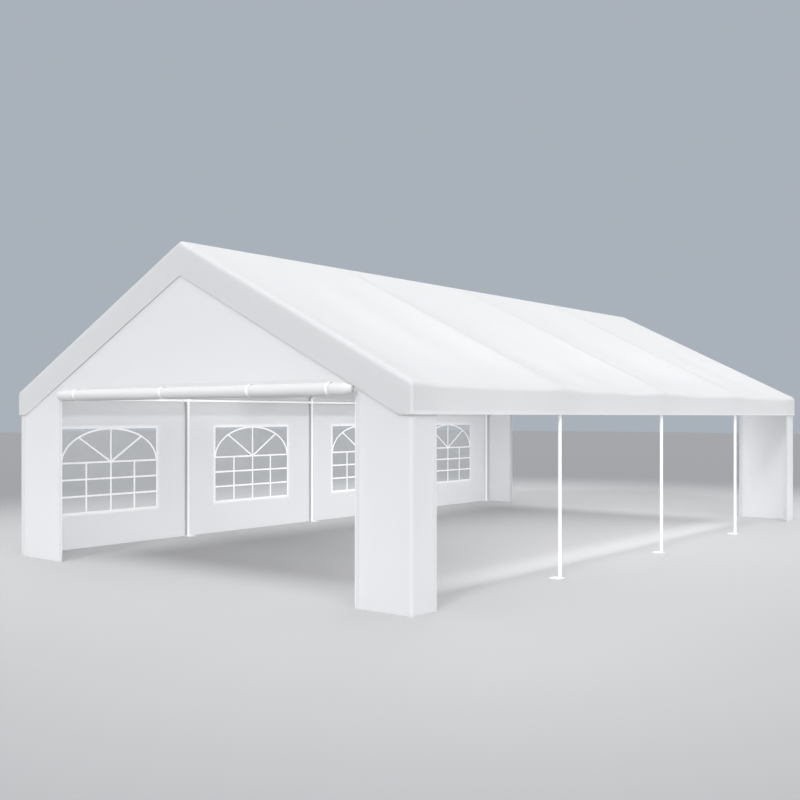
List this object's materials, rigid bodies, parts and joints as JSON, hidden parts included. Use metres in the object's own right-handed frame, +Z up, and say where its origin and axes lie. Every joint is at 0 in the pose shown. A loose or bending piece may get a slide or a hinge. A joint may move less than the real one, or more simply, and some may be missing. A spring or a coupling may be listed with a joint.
{
  "type": "marquee tent",
  "caption": "White gabled party marquee on a tube frame, with a valanced roof cover, rolled-up gable doors, window walls on one long side and the other long side open.",
  "frame": {"origin": "on the ground, in the middle of the tent's plan", "axes": "+Z up, +Y along the ridge from the front gable to the back gable, +X across towards the open long side; the window walls are at -X"},
  "size_m": [6.0986, 10.4932, 3.52],
  "materials": {
    "cover_cloth": "white coated cover cloth, satin, with a fine woven grid",
    "white_tube": "white powder coat on steel tube, satin",
    "clear_sheet": "clear flexible window sheet"
  },
  "bodies": {
    "root": {"ridge_line": "white_tube", "left_eave_line": "white_tube", "right_eave_line": "white_tube", "left_rafter_1": "white_tube", "left_leg_1": "white_tube", "left_rafter_2": "white_tube", "left_leg_2": "white_tube", "left_rafter_3": "white_tube", "left_leg_3": "white_tube", "left_rafter_4": "white_tube", "left_leg_4": "white_tube", "left_rafter_5": "white_tube", "left_leg_5": "white_tube", "right_rafter_1": "white_tube", "right_leg_1": "white_tube", "right_rafter_2": "white_tube", "right_leg_2": "white_tube", "right_rafter_3": "white_tube", "right_leg_3": "white_tube", "right_rafter_4": "white_tube", "right_leg_4": "white_tube", "right_rafter_5": "white_tube", "right_leg_5": "white_tube", "roof_cover": "cover_cloth", "front_gable_top": "cover_cloth", "front_left_panel": "cover_cloth", "front_right_panel": "cover_cloth", "front_door_roll": "cover_cloth", "front_corner_flap": "cover_cloth", "back_gable_top": "cover_cloth", "back_left_panel": "cover_cloth", "back_right_panel": "cover_cloth", "back_door_roll": "cover_cloth", "back_corner_flap": "cover_cloth", "side_wall_1": "cover_cloth", "side_window_1": "clear_sheet", "side_wall_2": "cover_cloth", "side_window_2": "clear_sheet", "side_wall_3": "cover_cloth", "side_window_3": "clear_sheet", "side_wall_4": "cover_cloth", "side_window_4": "clear_sheet"}
  },
  "joints": []
}
